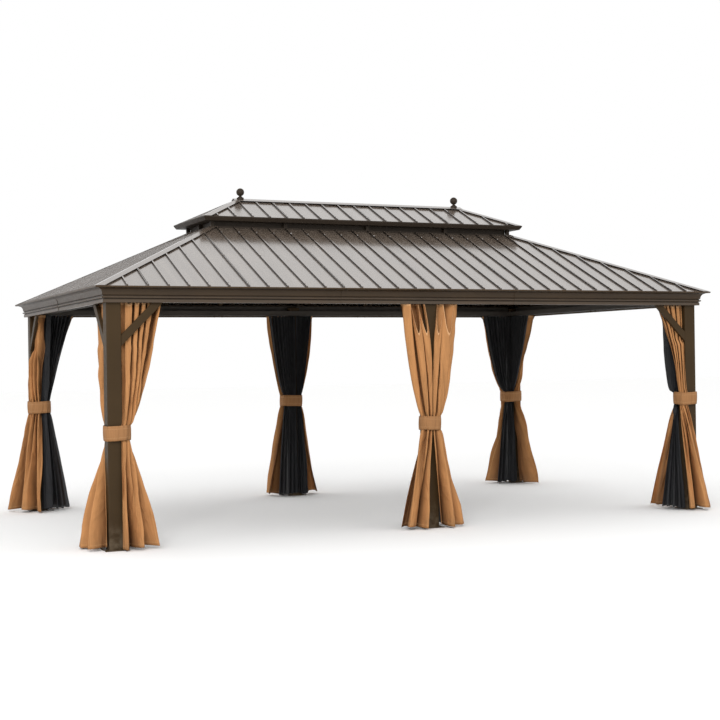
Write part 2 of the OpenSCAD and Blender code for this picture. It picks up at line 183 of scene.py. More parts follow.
# Paint film: broad tone changes, fine orange peel, pale dust on faces that look up. Noises: scale, detail.
paintPlan = {"broad": (2.3, 3.0), "peel": (420.0, 1.0), "specks": (34.0, 6.0), "dustTilt": (0.35, 1.0),
             "dustSpecks": (0.35, 0.75), "thinDust": (0.25, 1.0), "speckGloss": (-0.04, 0.05),
             "dustGloss": 0.25}


def paintGroup():
    tree, given = openGroup("paintFilm", {"Color": (0.1, 0.08, 0.06, 1), "Dust Color": (0.4, 0.36, 0.3, 1),
                                          "Tone": 0.2, "Dust": 0.2, "Gloss": 0.4})
    place = coordinates(tree, "Object")
    specks = noiseNode(tree, place, *paintPlan["specks"])
    normal = addNode(tree, "ShaderNodeNewGeometry").outputs["Normal"]
    settled = rangeNode(tree, splitVector(tree, normal)["Z"], paintPlan["dustTilt"])
    patches = rangeNode(tree, specks, paintPlan["dustSpecks"], paintPlan["thinDust"])
    settled = mathNode(tree, "MULTIPLY", settled, patches)
    settled = mathNode(tree, "MULTIPLY", settled, given["Dust"], clamp=True)
    toned = shaded(tree, given["Color"], evenNoise(tree, place, *paintPlan["broad"]), given["Tone"])
    rough = rangeNode(tree, specks, noiseSpan, paintPlan["speckGloss"])
    rough = mathNode(tree, "ADD", given["Gloss"], rough)
    rough = mathNode(tree, "MULTIPLY_ADD", settled, paintPlan["dustGloss"], rough)
    return closeGroup(tree, {"Color": mixColor(tree, settled, toned, given["Dust Color"]),
                             "Roughness": rough, "Height": noiseNode(tree, place, *paintPlan["peel"])})


# Rain streaks: noise drawn out down the slope, Stretch squeezes the other directions.
streakPlan = {"noise": (2.0, 5.0), "span": (0.38, 0.72)}


def streakGroup():
    tree, given = openGroup("rainStreaks", {"Stretch": (9.0, 0.7, 0.7)})
    drawn = stretched(tree, coordinates(tree, "Object"), given["Stretch"])
    noise = noiseNode(tree, drawn, *streakPlan["noise"])
    return closeGroup(tree, {"Mask": rangeNode(tree, noise, streakPlan["span"])})


# Soil splashed up from the ground: full at the floor, gone at Reach, broken up by noise.
splashPlan = {"noise": (18.0, 6.0), "span": (0.35, 0.7), "strength": (0.1, 1.0)}


def splashGroup():
    tree, given = openGroup("groundSplash", {"Reach": 0.3})
    place = coordinates(tree, "Object")
    share = mathNode(tree, "DIVIDE", splitVector(tree, place)["Z"], given["Reach"])
    noise = noiseNode(tree, place, *splashPlan["noise"])
    patches = rangeNode(tree, noise, splashPlan["span"], splashPlan["strength"])
    fade = rangeNode(tree, share, rising, falling)
    return closeGroup(tree, {"Mask": mathNode(tree, "MULTIPLY", fade, patches, clamp=True)})


# Weave: warp and weft waves along the cloth's own width and length, slubs from drawn out noise.
weavePlan = {"slub": (1.0, 4.0), "slubStretch": (60.0, 3.0, 1.0), "broad": (2.6, 3.0), "threadTone": 0.3}


def weaveGroup():
    tree, given = openGroup("weave", {"Color": (0.4, 0.2, 0.1, 1), "Threads": 900.0, "Slub": 0.2})
    place = coordinates(tree, "UV")
    parts = splitVector(tree, place)

    def threads(axis):
        return mathNode(tree, "SINE", mathNode(tree, "MULTIPLY", parts[axis], given["Threads"]))

    cross = mathNode(tree, "MULTIPLY", threads("X"), threads("Y"))
    slub = evenNoise(tree, stretched(tree, place, weavePlan["slubStretch"]), *weavePlan["slub"])
    tone = mathNode(tree, "ADD", slub, evenNoise(tree, place, *weavePlan["broad"]))
    tone = mathNode(tree, "MULTIPLY_ADD", cross, weavePlan["threadTone"], tone)
    return closeGroup(tree, {"Color": shaded(tree, given["Color"], tone, given["Slub"]), "Height": cross})


# Stitch rows: dashes at Inset from the edges of a cloth of the given Width and Length; Rim is a band along
# its top edge, where a highlight is painted.
stitchPlan = {"rimHighlight": (0.016, 0.026), "row": (0.0008, 0.0018), "dashes": 1100.0, "dashSpan": (-0.6, -0.2)}


def stitchGroup():
    tree, given = openGroup("stitchRows", {"Width": 1.0, "Length": 2.0, "Inset": 0.025})
    parts = splitVector(tree, coordinates(tree, "UV"))
    rows = []
    for axis, other, size in (("X", "Y", "Width"), ("Y", "X", "Length")):
        farEdge = mathNode(tree, "SUBTRACT", given[size], parts[axis])
        fromEdge = mathNode(tree, "MINIMUM", parts[axis], farEdge)
        offRow = mathNode(tree, "ABSOLUTE", mathNode(tree, "SUBTRACT", fromEdge, given["Inset"]))
        wave = mathNode(tree, "SINE", mathNode(tree, "MULTIPLY", parts[other], stitchPlan["dashes"]))
        dash = rangeNode(tree, wave, stitchPlan["dashSpan"])
        rows.append(mathNode(tree, "MULTIPLY", rangeNode(tree, offRow, stitchPlan["row"], falling), dash))
    fromTop = mathNode(tree, "SUBTRACT", given["Length"], parts["Y"])
    return closeGroup(tree, {"Mask": mathNode(tree, "MAXIMUM", *rows),
                             "Rim Highlight": rangeNode(tree, fromTop, stitchPlan["rimHighlight"], falling)})


# Wrinkles: ridged noise, drawn out down the cloth.
wrinklePlan = {"stretch": (1.0, 0.4, 1.0), "detail": 3.0, "distortion": 0.6, "middle": 0.5,
               "span": (0.0, 0.22)}


def wrinkleGroup():
    tree, given = openGroup("wrinkles", {"Density": 7.0})
    drawn = stretched(tree, coordinates(tree, "UV"), wrinklePlan["stretch"])
    noise = noiseNode(tree, drawn, given["Density"], wrinklePlan["detail"], wrinklePlan["distortion"])
    ridge = mathNode(tree, "ABSOLUTE", mathNode(tree, "SUBTRACT", noise, wrinklePlan["middle"]))
    return closeGroup(tree, {"Height": rangeNode(tree, ridge, wrinklePlan["span"])})


# Fold shade: the fold attribute is -1 on outward crests, which get a painted highlight, and 1 in valleys,
# which get a painted shade.
foldShadePlan = {"valleyShade": (-0.45, 0.9), "crest": (-1.0, 0.1)}


def foldShadeGroup():
    tree, given = openGroup("foldShade", {"Color": (0.4, 0.2, 0.1, 1), "Valley Shade Color": (0.1, 0.05, 0.02, 1),
                                        "Crest Highlight": 0.2, "Depth": 0.7})
    fold = addNode(tree, "ShaderNodeAttribute", attribute_name="fold").outputs["Fac"]
    crest = rangeNode(tree, fold, foldShadePlan["crest"], falling)
    bleached = shaded(tree, given["Color"], crest, given["Crest Highlight"])
    valleyShade = rangeNode(tree, fold, foldShadePlan["valleyShade"])
    return closeGroup(tree, {"Color": layColor(tree, bleached, given["Valley Shade Color"], valleyShade, given["Depth"])})


# Rib flanks: full where a face looks along Axis, as the sides of the ribs do; the roof uses it to paint
# these sides darker, a painted shade.
flankSpan = (0.5, 0.85)


def flankGroup():
    tree, given = openGroup("ribFlankShade", {"Axis": (1.0, 0.0, 0.0)})
    normal = addNode(tree, "ShaderNodeNewGeometry").outputs["True Normal"]
    facing = addNode(tree, "ShaderNodeVectorMath", {0: normal, 1: given["Axis"]}, operation="DOT_PRODUCT")
    share = mathNode(tree, "ABSOLUTE", facing.outputs["Value"])
    return closeGroup(tree, {"Mask": rangeNode(tree, share, flankSpan)})


# Moulding shade and polish: bands (from, to, strength) by height above Base in shares of Height; the shade
# bands paint shade into the grooves, the cove and under the lip, Polish lies on the bead and the band.
mouldingPlan = {"paintedShade": ((0.195, 0.265, 0.75), (0.395, 0.455, 0.6), (0.47, 0.84, 0.26), (0.84, 0.91, 0.7)),
                "polish": ((-0.1, 0.185, 1.0), (0.28, 0.385, 1.0)), "soft": 0.012}


def mouldingGroup():
    tree, given = openGroup("mouldingShadeAndPolish", {"Base": 1.9, "Height": 0.1})
    above = mathNode(tree, "SUBTRACT", splitVector(tree, coordinates(tree, "Object"))["Z"], given["Base"])
    share = mathNode(tree, "DIVIDE", above, given["Height"])
    soft = mouldingPlan["soft"]

    def strongest(bands):
        mask = 0.0
        for low, high, strength in bands:
            foot = rangeNode(tree, share, (low - soft, low + soft), (0.0, strength))
            head = rangeNode(tree, share, (high - soft, high + soft), falling)
            mask = mathNode(tree, "MAXIMUM", mask, mathNode(tree, "MULTIPLY", foot, head))
        return mask

    return closeGroup(tree, {"Painted Shade": strongest(mouldingPlan["paintedShade"]),
                             "Polish": strongest(mouldingPlan["polish"])})


paintFilm = paintGroup()
rainStreaks = streakGroup()
groundSplash = splashGroup()
weave = weaveGroup()
stitchRows = stitchGroup()
wrinkles = wrinkleGroup()
foldShade = foldShadeGroup()
ribFlankShade = flankGroup()
mouldingShadeAndPolish = mouldingGroup()
print("shared effects made")


def newMaterial(name):
    material = bpy.data.materials.new(name)
    material.use_nodes = True
    tree = material.node_tree
    return material, tree, tree.nodes["Principled BSDF"]


def addBump(tree, shader, height, bump, under=None):
    made = addNode(tree, "ShaderNodeBump", {"Height": height, "Strength": bump[0], "Distance": bump[1]})
    if under:
        tree.links.new(under, made.inputs["Normal"])
    tree.links.new(made.outputs["Normal"], shader.inputs["Normal"])
    return made.outputs["Normal"]


# Painted metal: tone and dusty are the strengths of tone changes and dust, soil the reach of splashes, shine
# the specular level. The roof has a clear coat, and its rib flanks are painted darker, a painted shade, and
# less coated.
metalPlan = {"streaks": 0.22, "soil": 0.5, "coatRoughness": 0.16, "coatIor": 2.8, "bump": (0.12, 0.0004)}
# rib is the colour of the painted shade on the rib flanks.
roofLook = {"color": (0.108, 0.081, 0.062, 1), "dust": (0.30, 0.250, 0.205, 1), "gloss": 0.25, "shine": 0.35,
            "tone": 0.16, "dusty": 0.22, "coat": 1.0, "rib": (0.014, 0.011, 0.009, 1)}
metals = {
    "bronzeFrame": {"color": (0.046, 0.027, 0.0105, 1), "dust": (0.20, 0.155, 0.105, 1), "gloss": 0.5,
                    "shine": 0.15, "tone": 0.22, "dusty": 0.25, "soil": 0.28},
    # Beams and rails: a lighter, greyer copy of the frame paint, painted light for the light inside the
    # roof.
    "litGreyRails": {"color": (0.066, 0.058, 0.050, 1), "dust": (0.20, 0.17, 0.14, 1), "gloss": 0.5,
                  "shine": 0.2, "tone": 0.2, "dusty": 0.25},
    # The cornice's dark second colour is painted shade for its grooves, cove and lip.
    "bronzeCornice": {"color": (0.054, 0.031, 0.013, 1), "dust": (0.22, 0.175, 0.125, 1), "gloss": 0.42,
                      "shine": 0.28, "tone": 0.2, "dusty": 0.35, "polish": 0.11,
                      "paintedShade": (0.014, 0.009, 0.005, 1)},
    "darkTrim": {"color": (0.030, 0.021, 0.014, 1), "dust": (0.10, 0.08, 0.06, 1), "gloss": 0.5,
                 "shine": 0.2, "tone": 0.2, "dusty": 0.2},
    "brownRoofLong": {**roofLook, "stretch": (9.0, 0.7, 0.7), "ribAxis": (1.0, 0.0, 0.0), "ribShadeShare": 0.98},
    "brownRoofShort": {**roofLook, "stretch": (0.7, 9.0, 0.7), "ribAxis": (0.0, 1.0, 0.0), "ribShadeShare": 0.3},
    "brownCaps": {**roofLook, "dusty": 0.2},
}


def paintedMetal(name):
    look = metals[name]
    material, tree, shader = newMaterial(name)
    film = useGroup(tree, paintFilm, {"Color": look["color"], "Dust Color": look["dust"],
                                      "Tone": look["tone"], "Dust": look["dusty"], "Gloss": look["gloss"]})
    colour, coat = film["Color"], look.get("coat", 0.0)
    if "stretch" in look:
        streaks = useGroup(tree, rainStreaks, {"Stretch": look["stretch"]})["Mask"]
        colour = layColor(tree, colour, look["dust"], streaks, metalPlan["streaks"])
    if "soil" in look:
        splash = useGroup(tree, groundSplash, {"Reach": look["soil"]})["Mask"]
        colour = layColor(tree, colour, look["dust"], splash, metalPlan["soil"])
    # Painted shade: faces looking along the rib axis are painted darker and lose coat.
    if "ribAxis" in look:
        flankShade = useGroup(tree, ribFlankShade, {"Axis": look["ribAxis"]})["Mask"]
        flankShade = mathNode(tree, "MULTIPLY", flankShade, look["ribShadeShare"])
        colour = mixColor(tree, flankShade, colour, look["rib"])
        coat = mathNode(tree, "SUBTRACT", coat, flankShade, clamp=True)
    # Painted shade: the cornice is darkened in bands by height, in its grooves, its cove and under its lip.
    if "paintedShade" in look:
        bands = useGroup(tree, mouldingShadeAndPolish, {"Base": layout["corniceBase"],
                                              "Height": layout["corniceHeight"]})
        colour = mixColor(tree, bands["Painted Shade"], colour, look["paintedShade"])
        coat = mathNode(tree, "MULTIPLY", bands["Polish"], look["polish"])
    fillSockets(tree, shader, {
        "Base Color": colour, "Roughness": film["Roughness"], "Specular IOR Level": look["shine"],
        "Coat Weight": coat, "Coat Roughness": metalPlan["coatRoughness"], "Coat IOR": metalPlan["coatIor"]})
    addBump(tree, shader, film["Height"], metalPlan["bump"])
    return material


# Woven cloth: thread is the colour of the stitches, rim that of a painted highlight along the top edge, deep
# that of a painted shade in the valleys of folds.
sewnPlan = {"rimHighlight": 0.8, "soilReach": 0.16, "soil": 0.45, "roughness": 0.86, "shine": 0.25, "wrinkles": 7.0,
            "wrinkleBump": (0.7, 0.014), "threadBump": (0.35, 0.0006)}
cloths = {
    # Curtain: a lighter colour paints a highlight along the top edge, a dark one paints shade into the
    # valleys of folds, and the crests get a painted highlight.
    "curtain": {"color": (0.460, 0.217, 0.083, 1), "thread": (0.58, 0.33, 0.15, 1), "threads": 4200.0,
                "slub": 0.16, "soil": (0.20, 0.13, 0.07, 1), "rimHighlight": (0.74, 0.43, 0.22, 1),
                "valleyShadeColor": (0.095, 0.036, 0.011, 1), "bleach": 0.12, "depth": 0.88},
    "tie": {"color": (0.352, 0.173, 0.072, 1), "thread": (0.50, 0.29, 0.14, 1), "threads": 4200.0,
            "slub": 0.16},
    "netting": {"color": (0.0300, 0.0305, 0.0330, 1), "thread": (0.042, 0.043, 0.047, 1), "threads": 3100.0,
                "slub": 0.2, "alpha": 0.97},
}


def wovenCloth(name, look, size):
    material, tree, shader = newMaterial(name)
    cloth = useGroup(tree, weave, {"Color": look["color"], "Threads": look["threads"], "Slub": look["slub"]})
    sewn = useGroup(tree, stitchRows, {"Width": size[0], "Length": size[1]})
    colour = cloth["Color"]
    # Painted shade in the valleys of folds and painted highlight on their crests.
    if "valleyShadeColor" in look:
        colour = useGroup(tree, foldShade, {"Color": colour, "Valley Shade Color": look["valleyShadeColor"],
                                          "Crest Highlight": look["bleach"], "Depth": look["depth"]})["Color"]
    colour = mixColor(tree, sewn["Mask"], colour, look["thread"])
    # Painted highlight along the top edge.
    if "rimHighlight" in look:
        colour = layColor(tree, colour, look["rimHighlight"], sewn["Rim Highlight"], sewnPlan["rimHighlight"])
    if "soil" in look:
        splash = useGroup(tree, groundSplash, {"Reach": sewnPlan["soilReach"]})["Mask"]
        colour = layColor(tree, colour, look["soil"], splash, sewnPlan["soil"])
    fillSockets(tree, shader, {"Base Color": colour, "Roughness": sewnPlan["roughness"],
                               "Specular IOR Level": sewnPlan["shine"], "Alpha": look.get("alpha", 1.0)})
    creased = useGroup(tree, wrinkles, {"Density": sewnPlan["wrinkles"]})["Height"]
    rumpled = addBump(tree, shader, creased, sewnPlan["wrinkleBump"])
    threadHeight = mathNode(tree, "ADD", cloth["Height"], sewn["Mask"])
    addBump(tree, shader, threadHeight, sewnPlan["threadBump"], rumpled)
    return material


paints = {name: paintedMetal(name) for name in metals}
print("paints made:", len(paints))

# Paint of each CAD node that isn't part of the bronze frame.
nodePaints = {
    **dict.fromkeys(("lower_hip_caps", "upper_hip_caps", "ridge_cap"), "brownCaps"),
    **dict.fromkeys(("vent_screens", "vent_curb", "vent_struts", "upper_eave_frame"), "darkTrim"),
    **dict.fromkeys(("upper_eave_trim", "finials"), "darkTrim"),
    **dict.fromkeys(("perimeter_beams", "curtain_rails"), "litGreyRails"),
    **{f"{side}_cornice": "bronzeCornice" for side in sides},
    **{f"{side}_{tier}_roof": "brownRoofLong" if side in longSides else "brownRoofShort"
       for side in sides for tier in tiers},
}
for name, piece in cadNodes.items():
    piece.data.materials.clear()
    piece.data.materials.append(paints[nodePaints.get(name, "bronzeFrame")])
print("frame and roof painted")


# Mesh from points and the corner numbers of its quads; uv is in metres, one pair for each point.
def facedMesh(name, points, quads, uv=None, smooth=True):
    mesh = bpy.data.meshes.new(name)
    mesh.vertices.add(len(points))
    mesh.vertices.foreach_set("co", np.ascontiguousarray(points, dtype=np.float32).ravel())
    mesh.loops.add(quads.size)
    mesh.loops.foreach_set("vertex_index", quads.astype(np.int32).ravel())
    mesh.polygons.add(len(quads))
    mesh.polygons.foreach_set("loop_start", np.arange(0, quads.size, quads.shape[1], dtype=np.int32))
    mesh.polygons.foreach_set("use_smooth", np.full(len(quads), smooth, dtype=bool))
    if uv is not None:
        layer = mesh.uv_layers.new(name="clothMap")
        layer.data.foreach_set("uv", uv[quads.ravel()].astype(np.float32).ravel())
    mesh.update(calc_edges=True)
    mesh.validate()
    piece = bpy.data.objects.new(name, mesh)
    bpy.context.scene.collection.objects.link(piece)
    return piece


# Mesh from a grid of points (rows, columns, 3): each cell is a quad, uv is (rows, columns, 2).
def gridMesh(name, points, uv, flip=False, smooth=True):
    rows, columns = points.shape[:2]
    index = np.arange(rows * columns).reshape(rows, columns)
    corners = [index[:-1, :-1], index[:-1, 1:], index[1:, 1:], index[1:, :-1]]
    quads = np.stack(corners[::-1] if flip else corners, axis=-1).reshape(-1, 4)
    return facedMesh(name, points.reshape(-1, 3), quads, uv.reshape(-1, 2), smooth)


# A finished piece gets its material and its body.
def seatPiece(piece, material):
    piece.data.materials.append(material)
    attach(piece, "root")


def thicken(piece, thick):
    made = piece.modifiers.new("thickness", "SOLIDIFY")
    made.thickness = thick
    made.offset = 0.0


# Cubic ease from 0 at low to 1 at high.
def smoothStep(value, low, high):
    share = np.clip((value - low) / (high - low), 0.0, 1.0)
    return share * share * (3 - 2 * share)


# How cloth hangs at a post: plan points (a, n) of its inner edge, middle and outer edge at the rail, the tie
# and the hem; a runs from the post's axis into the bay, n in from the lip of the cornice. Turn is the sense
# of a along the side. Rise says how fast the points leave the tie, as a power or as the two shares of the
# way up between which they move. Belly swells the cloth, crest is the share of its width at which a fold
# stands out at the rail, and looseTo is where the top edge stops drooping.
plainRise = ((1.0, 1.0), (0.7, 0.8), (0.6, 0.8))
noBelly = (0.0, 0.0)
curtains = {
    "front_left_front": {
        "turn": 1, "rise": ((0.2, 0.6), (0.55, 0.8), (0.6, 0.6)),
        "rail": ((0.072, 0.176), (0.22, 0.168), (0.395, 0.178)),
        "tie": ((0.042, 0.09), (0.112, 0.12), (0.094, 0.212)),
        "hem": ((0.045, 0.08), (0.15, 0.04), (0.272, 0.12))},
    "front_left_side": {
        "turn": -1, "rise": ((1.0, 1.0), (0.45, 1.0), (0.4, 1.0)), "belly": (0.0, -0.015),
        "rail": ((0.072, 0.176), (0.22, 0.165), (0.42, 0.17)),
        "tie": ((0.088, 0.118), (0.105, 0.165), (0.092, 0.212)),
        "hem": ((-0.062, 0.085), (0.02, -0.048), (0.33, 0.058))},
    "front_middle_left": {
        "turn": -1, "rise": ((3.0, 4.0), (0.75, 2.0), (0.6, 1.0)), "crest": 0.42, "looseTo": (0.52, 0.66),
        "rail": ((0.072, 0.108), (0.15, 0.15), (0.25, 0.175)),
        "tie": ((0.02, 0.072), (0.065, 0.05), (0.075, 0.16)),
        "hem": ((0.095, 0.065), (0.19, 0.02), (0.32, 0.1))},
    "front_middle_right": {
        "turn": 1, "rise": ((2.5, 3.0), (0.8, 2.0), (0.65, 1.0)), "crest": 0.46, "looseTo": (0.56, 0.7),
        "rail": ((0.074, 0.112), (0.17, 0.155), (0.284, 0.175)),
        "tie": ((-0.004, 0.076), (0.055, 0.055), (0.062, 0.16)),
        "hem": ((0.056, 0.062), (0.14, 0.03), (0.25, 0.1))},
    "front_right_front": {
        "turn": -1, "rise": ((0.5, 0.85), (1.5, 0.5), (1.35, 0.5)),
        "rail": ((0.07, 0.145), (0.19, 0.16), (0.335, 0.178)),
        "tie": ((0.055, 0.096), (0.085, 0.105), (0.08, 0.16)),
        "hem": ((-0.145, 0.055), (-0.05, -0.02), (0.085, 0.055))},
    "front_right_side": {
        "turn": 1,
        "rail": ((0.072, 0.178), (0.18, 0.168), (0.29, 0.178)),
        "tie": ((0.088, 0.118), (0.105, 0.165), (0.092, 0.212)),
        "hem": ((0.075, 0.15), (0.22, 0.2), (0.33, 0.37))},
    "back_right_side": {
        "turn": -1, "rise": ((1.0, 1.0), (1.0, 0.8), (1.0, 0.8)),
        "rail": ((0.072, 0.178), (0.22, 0.168), (0.44, 0.178)),
        "tie": ((0.068, 0.14), (0.078, 0.17), (0.068, 0.212)),
        "hem": ((0.08, 0.14), (0.19, 0.08), (0.32, 0.13))},
    "back_right_back": {
        "turn": 1, "rise": ((1.0, 1.0), (0.55, 0.8), (0.55, 0.8)),
        "rail": ((0.072, 0.178), (0.22, 0.168), (0.44, 0.178)),
        "tie": ((0.1, 0.12), (0.165, 0.165), (0.12, 0.205)),
        "hem": ((0.1, 0.14), (0.19, 0.09), (0.31, 0.13))},
    "back_middle_left": {
        "turn": 1, "rise": ((1.0, 3.0), (0.9, 2.0), (0.9, 1.0)),
        "rail": ((0.076, 0.172), (0.17, 0.165), (0.296, 0.178)),
        "tie": ((0.03, 0.072), (0.12, 0.06), (0.118, 0.165)),
        "hem": ((0.07, 0.07), (0.19, 0.04), (0.342, 0.12))},
    "back_middle_right": {
        "turn": -1, "rise": ((1.0, 3.0), (0.9, 2.0), (0.9, 1.0)),
        "rail": ((0.076, 0.172), (0.15, 0.165), (0.236, 0.178)),
        "tie": ((0.02, 0.072), (0.062, 0.06), (0.055, 0.165)),
        "hem": ((0.07, 0.07), (0.17, 0.04), (0.303, 0.12))},
    "back_left_back": {
        "turn": -1, "rise": ((1.0, 1.0), (1.0, 0.8), (1.1, 0.8)),
        "rail": ((0.072, 0.178), (0.22, 0.168), (0.385, 0.178)),
        "tie": ((0.08, 0.118), (0.105, 0.165), (0.09, 0.212)),
        "hem": ((0.08, 0.1), (0.18, 0.06), (0.29, 0.1))},
    "back_left_side": {
        "turn": 1, "rise": (((0.2, 0.52), (0.46, 0.62)), (0.9, (0.4, 0.66)), (0.9, 0.8)),
        "rail": ((0.078, 0.16), (0.18, 0.168), (0.33, 0.165)),
        "tie": ((0.01, 0.1), (0.1, 0.115), (0.095, 0.205)),
        "hem": ((-0.06, -0.11), (0.12, 0.0), (0.28, 0.19))},
}

# Netting hangs from the inner rail: at the corners the two nets meet inside the post, at the middle posts
# they close over its inner face. Only what differs from those two is given net by net.
cornerNet = {"rail": ((0.07, 0.250), (0.19, 0.250), (0.36, 0.254)),
             "tie": ((0.070, 0.240), (0.10, 0.258), (0.118, 0.238)),
             "hem": ((0.07, 0.250), (0.15, 0.268), (0.24, 0.250))}
middleNet = {"rail": ((0.004, 0.254), (0.10, 0.252), (0.19, 0.254)),
             "tie": ((0.004, 0.250), (0.03, 0.268), (0.05, 0.245)),
             "hem": ((0.004, 0.255), (0.05, 0.270), (0.11, 0.258))}
netEdges = {
    "front_middle_left": {
        "rail": ((0.004, 0.254), (0.09, 0.252), (0.16, 0.254)),
        "tie": ((0.004, 0.25), (0.01, 0.252), (0.02, 0.235))},
    "front_middle_right": {
        "hem": ((0.004, 0.255), (0.11, 0.262), (0.24, 0.245))},
    "front_right_front": {
        "rise": ((1.0, 1.0), (0.3, 0.8), (0.22, 0.8)),
        "rail": ((0.07, 0.25), (0.15, 0.252), (0.215, 0.254)),
        "tie": ((0.075, 0.24), (0.085, 0.255), (0.08, 0.235)),
        "hem": ((0.1, 0.1), (0.18, 0.06), (0.28, 0.2))},
    "front_right_side": {
        "rail": ((0.1, 0.256), (0.15, 0.25), (0.2, 0.254)),
        "tie": ((0.066, 0.205), (0.085, 0.225), (0.095, 0.205)),
        "hem": ((0.09, 0.25), (0.12, 0.29), (0.16, 0.33))},
    "back_right_side": {
        "rise": ((1.0, 1.0), (0.8, 0.8), (0.8, 0.8)),
        "rail": ((0.1, 0.256), (0.24, 0.246), (0.475, 0.238)),
        "tie": ((0.07, 0.24), (0.09, 0.255), (0.095, 0.235)),
        "hem": ((0.09, 0.25), (0.11, 0.27), (0.135, 0.255))},
    "back_right_back": {
        "rise": ((1.0, 1.0), (0.5, 0.8), (0.5, 0.8)),
        "rail": ((0.07, 0.25), (0.24, 0.25), (0.445, 0.254)),
        "tie": ((0.075, 0.24), (0.13, 0.262), (0.165, 0.238)),
        "hem": ((0.07, 0.25), (0.18, 0.275), (0.3, 0.255))},
    "back_middle_left": {
        "rise": ((1.0, 1.0), (0.62, 0.8), (0.62, 0.8)),
        "rail": ((0.004, 0.254), (0.14, 0.252), (0.31, 0.254)),
        "tie": ((0.004, 0.25), (0.07, 0.275), (0.145, 0.242)),
        "hem": ((0.004, 0.255), (0.1, 0.28), (0.234, 0.258))},
    "back_middle_right": {
        "rise": ((1.0, 1.0), (0.8, 0.8), (0.8, 0.8)),
        "rail": ((0.004, 0.254), (0.1, 0.252), (0.188, 0.254)),
        "hem": ((0.004, 0.255), (0.05, 0.28), (0.085, 0.258))},
    "back_left_back": {
        "rise": ((1.0, 1.0), (1.0, 0.8), (1.1, 0.8)),
        "hem": ((0.09, 0.25), (0.18, 0.28), (0.325, 0.255))},
    "back_left_side": {
        "rail": ((0.1, 0.24), (0.18, 0.25), (0.3, 0.254)),
        "tie": ((0.066, 0.208), (0.1, 0.258), (0.118, 0.238)),
        "hem": ((0.09, 0.205), (0.15, 0.25), (0.24, 0.25))},
}

# Kinds of cloth: flat size, depth of folds against the spare width, number of folds above and below the tie,
# grid, how much of the depth the tie leaves, hem height, droop and curl of the top edge, loop of the pleats.
# The stitches of a tie go by tieRun, which is longer than any tie, so that they have no end row on one side.
clothPlan = {
    "corner": {"flat": (0.92, 1.95), "full": 1.12, "folds": 5, "hemFolds": 2.2, "columns": 121, "rows": 90,
               "squeeze": 0.6, "thick": 0.0016, "hem": 0.022, "droop": 0.015, "crease": 0.0030, "loop": 0.9,
               "uneven": 0.17, "curl": 0.0},
    "middle": {"flat": (0.70, 1.95), "full": 1.04, "folds": 2.8, "hemFolds": 2.0, "columns": 121, "rows": 96,
               "squeeze": 0.42, "thick": 0.0016, "hem": 0.022, "droop": 0.27, "crease": 0.0016, "loop": 2.4,
               "uneven": 0.06, "curl": 0.014},
    "net": {"flat": (0.80, 1.95), "full": 1.18, "folds": 9, "hemFolds": 5.0, "columns": 131, "rows": 64,
            "squeeze": 0.6, "thick": 0.0, "hem": 0.028, "droop": 0.012, "crease": 0.0012, "loop": 0.0,
            "uneven": 0.20, "curl": 0.0},
    "tieHeight": 0.12, "tieRun": 1.0,
}

# Folds of every cloth: fine ones above the tie and broad ones near the hem, with the size and pace of their
# lean, their sharpness, the share of their second wave, and the size and paces of their swelling. Creases
# have paces along the width and down the cloth, and a size that grows from least by gain up to the rail.
foldPlan = {
    "fine": {"lean": (0.35, 2.3), "shape": (1.3, 0.35), "swell": (0.25, 9.0, 1.3)},
    "broad": {"lean": (0.4, 1.7), "shape": (1.7, 0.45), "swell": (0.2, 7.0, 0.0)},
    "unevenPaces": (1.3, 2.9), "unevenShare": 0.35, "broadUneven": 0.5, "leastPace": 0.5, "leastSpare": 0.2,
    "broadShare": 0.88, "broadFrom": 0.8, "tightPower": 0.4, "calmLeast": 0.2, "calmEdge": 0.22,
    "swayPower": 0.25, "swayEdge": 0.06, "curlReach": 0.05, "hemWave": (0.010, 5.0), "hemPower": 0.85,
    "looseFrom": 0.6, "loosePower": 2.2, "looseTo": (0.86, 0.97), "press": 150.0, "pressFrom": (-0.04, 0.03),
    "creases": ({"count": 6, "run": (2.0, 7.0), "drop": 2.6, "least": 1.0, "gain": 0.0},
                {"count": 5, "run": (4.0, 9.0), "drop": 7.0, "least": 0.24, "gain": 0.6}),
}
fullTurn = 2 * math.pi


# Angle of the folds over width s and height: even steps, shifted by uneven, leaning by a sine of the height.
def foldAngle(kind, count, s, uneven, height, leanTurn, start):
    size, pace = foldPlan[kind]["lean"]
    return fullTurn * (count * s + uneven) + size * np.sin(pace * height + leanTurn) + start


# Height of the folds: tanh of a sine and its second wave, swelling along the width and the height.
def foldWave(kind, angle, s, height, waveTurn, swellTurn):
    sharp, second = foldPlan[kind]["shape"]
    swell, alongPace, downPace = foldPlan[kind]["swell"]
    wave = np.tanh(sharp * np.sin(angle) + second * np.sin(2 * angle + waveTurn))
    return wave * (1 + swell * np.sin(alongPace * s + downPace * height + swellTurn))


